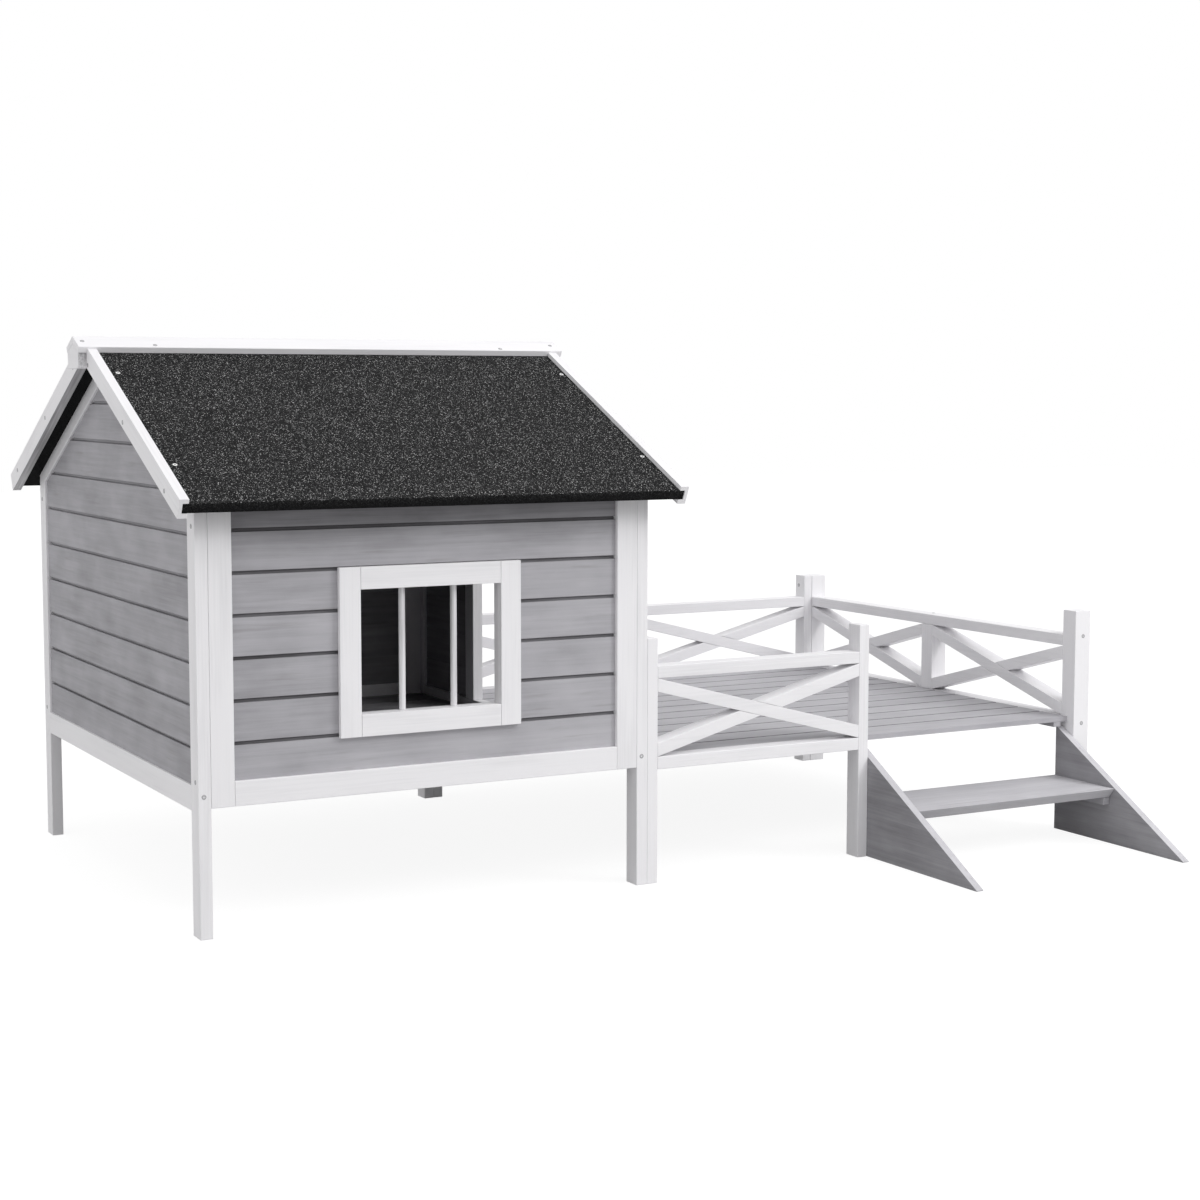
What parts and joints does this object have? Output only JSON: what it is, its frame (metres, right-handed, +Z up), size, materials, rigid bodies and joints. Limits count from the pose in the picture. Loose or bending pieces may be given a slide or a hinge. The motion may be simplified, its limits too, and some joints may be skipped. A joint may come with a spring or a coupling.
{
  "type": "raised dog house with porch",
  "caption": "Raised wooden dog house: boarded cabin on legs under a felted gable roof, barred window, gable doorway, and a railed porch with a step.",
  "frame": {"origin": "on the ground, under the middle of the whole object's bounding box", "axes": "+X along the front from the cabin to the porch's end, +Y from the front with the window and the step to the back, +Z up"},
  "size_m": [1.959, 1.3818, 1.0011],
  "materials": {
    "white_paint": "white paint on planed softwood, satin",
    "grey_stain": "light grey stain on planed softwood, the grain showing through",
    "roof_felt": "charcoal mineral granules in bitumen felt, matt"
  },
  "bodies": {
    "root": {"leg_front_left": "white_paint", "leg_front_right": "white_paint", "leg_back_left": "white_paint", "leg_back_right": "white_paint", "front_stile_left": "white_paint", "front_stile_right": "white_paint", "front_bottom_rail": "white_paint", "back_wall_frame": "white_paint", "left_bottom_rail": "white_paint", "right_bottom_rail": "white_paint", "left_rake_board": "white_paint", "right_rake_board": "white_paint", "doorway_frame": "white_paint", "window_frame": "white_paint", "window_bar_left": "white_paint", "window_bar_right": "white_paint", "front_boarding": "grey_stain", "back_boarding": "grey_stain", "left_boarding": "grey_stain", "right_boarding": "grey_stain", "cabin_floor": "grey_stain", "roof_board_front": "grey_stain", "roof_board_back": "grey_stain", "roof_felt_front": "roof_felt", "roof_felt_back": "roof_felt", "barge_board_front_left": "white_paint", "barge_board_back_left": "white_paint", "barge_board_front_right": "white_paint", "barge_board_back_right": "white_paint", "ridge_cap": "white_paint", "apex_block_left": "white_paint", "apex_block_right": "white_paint", "porch_post_front_house": "white_paint", "porch_post_front_middle": "white_paint", "porch_post_front_end": "white_paint", "porch_post_back_house": "white_paint", "porch_post_back_panel": "white_paint", "porch_post_back_end": "white_paint", "front_top_rail": "white_paint", "front_lower_rail": "white_paint", "front_brace": "white_paint", "back_top_rail": "white_paint", "back_lower_rail": "white_paint", "back_middle_post": "white_paint", "back_brace_left": "white_paint", "back_brace_right": "white_paint", "end_top_rail": "white_paint", "end_lower_rail": "white_paint", "end_middle_post": "white_paint", "end_brace_front": "white_paint", "end_brace_back": "white_paint", "deck": "grey_stain", "deck_bearer_left": "grey_stain", "deck_bearer_middle": "grey_stain", "deck_bearer_right": "grey_stain", "stringer_left": "grey_stain", "stringer_right": "grey_stain", "stair_tread": "grey_stain", "tread_cleat_left": "grey_stain", "tread_cleat_right": "grey_stain"}
  },
  "joints": []
}
